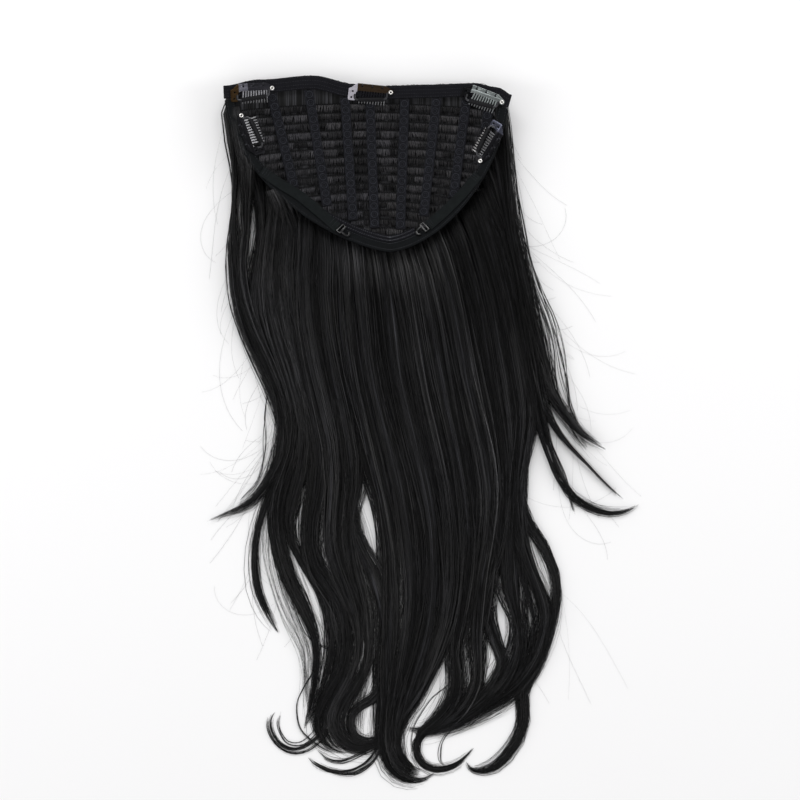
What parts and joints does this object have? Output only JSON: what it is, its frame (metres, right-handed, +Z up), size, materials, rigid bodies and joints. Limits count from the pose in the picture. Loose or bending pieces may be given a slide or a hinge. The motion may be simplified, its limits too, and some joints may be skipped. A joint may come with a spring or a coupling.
{
  "type": "clip-in hairpiece",
  "caption": "Long wavy black clip-in half wig, lying with the inside of its wefted cap up: ribbons, elastic straps with hooks, and snap combs along the front and sides.",
  "frame": {"origin": "middle of the whole footprint, on the surface that the hair lies on", "axes": "+X across the cap, to the right in the picture, which is the wearer's left; +Y from the nape to the front band; +Z up, out of the hollow of the cap"},
  "size_m": [0.3882, 0.639, 0.0361],
  "materials": {
    "black_hair": "soft sheen of fine synthetic fibre",
    "black_tape": "matt woven tape with rows of stitches",
    "weft_thread": "matt sewn thread",
    "ribbon_lace": "matt openwork elastic",
    "elastic_webbing": "matt ribbed elastic",
    "hook_plastic": "glossy moulded",
    "comb_steel": "thin bright plating on stamped sheet, worn on the teeth",
    "rivet_nickel": "bright nickel",
    "sleeve_rubber": "matt soft tube"
  },
  "bodies": {
    "hairpiece": {"hair": "black_hair", "front_band": "black_tape", "edge_band": "black_tape", "nape_tape": "black_tape", "weft_01": "weft_thread", "weft_02": "weft_thread", "weft_03": "weft_thread", "weft_04": "weft_thread", "weft_05": "weft_thread", "weft_06": "weft_thread", "weft_07": "weft_thread", "weft_08": "weft_thread", "weft_09": "weft_thread", "weft_10": "weft_thread", "weft_11": "weft_thread", "weft_12": "weft_thread", "weft_13": "weft_thread", "weft_14": "weft_thread", "weft_15": "weft_thread", "ribbon_1": "ribbon_lace", "ribbon_2": "ribbon_lace", "ribbon_3": "ribbon_lace", "ribbon_4": "ribbon_lace", "ribbon_5": "ribbon_lace", "ribbon_6": "ribbon_lace", "ribbon_7": "ribbon_lace", "ribbon_8": "ribbon_lace", "strap_left": "elastic_webbing", "strap_right": "elastic_webbing", "hook_left": "hook_plastic", "hook_right": "hook_plastic", "clip_front_left_comb": "comb_steel", "clip_front_left_rivet": "rivet_nickel", "clip_front_middle_comb": "comb_steel", "clip_front_middle_rivet": "rivet_nickel", "clip_front_right_comb": "comb_steel", "clip_front_right_rivet": "rivet_nickel", "clip_side_left_comb": "comb_steel", "clip_side_left_rivet": "rivet_nickel", "clip_side_right_comb": "comb_steel", "clip_side_right_rivet": "rivet_nickel"},
    "clip_front_left_lever": {"clip_front_left_lever": "comb_steel", "clip_front_left_sleeve": "sleeve_rubber"},
    "clip_front_middle_lever": {"clip_front_middle_lever": "comb_steel", "clip_front_middle_sleeve": "sleeve_rubber"},
    "clip_front_right_lever": {"clip_front_right_lever": "comb_steel", "clip_front_right_sleeve": "sleeve_rubber"},
    "clip_side_left_lever": {"clip_side_left_lever": "comb_steel", "clip_side_left_sleeve": "sleeve_rubber"},
    "clip_side_right_lever": {"clip_side_right_lever": "comb_steel", "clip_side_right_sleeve": "sleeve_rubber"}
  },
  "joints": [
    {"name": "clip_front_left_hinge", "type": "hinge", "parent": "hairpiece", "child": "clip_front_left_lever", "pos_m": [-0.16481, 0.30122, 0.03344], "axis": [-0.9582, -0.2074, 0.197], "range_deg": [0, 45]},
    {"name": "clip_front_middle_hinge", "type": "hinge", "parent": "hairpiece", "child": "clip_front_middle_lever", "pos_m": [-0.05968, 0.3033, 0.02067], "axis": [-0.9994, -0.0345, -0.0101], "range_deg": [0, 45]},
    {"name": "clip_front_right_hinge", "type": "hinge", "parent": "hairpiece", "child": "clip_front_right_lever", "pos_m": [0.04146, 0.30231, 0.02778], "axis": [-0.9486, 0.2345, -0.2123], "range_deg": [0, 45]},
    {"name": "clip_side_left_hinge", "type": "hinge", "parent": "hairpiece", "child": "clip_side_left_lever", "pos_m": [-0.14668, 0.25415, 0.03182], "axis": [0.4514, -0.8919, -0.0262], "range_deg": [0, 45]},
    {"name": "clip_side_right_hinge", "type": "hinge", "parent": "hairpiece", "child": "clip_side_right_lever", "pos_m": [0.06573, 0.27182, 0.03371], "axis": [0.4029, 0.915, 0.023], "range_deg": [0, 45]}
  ]
}
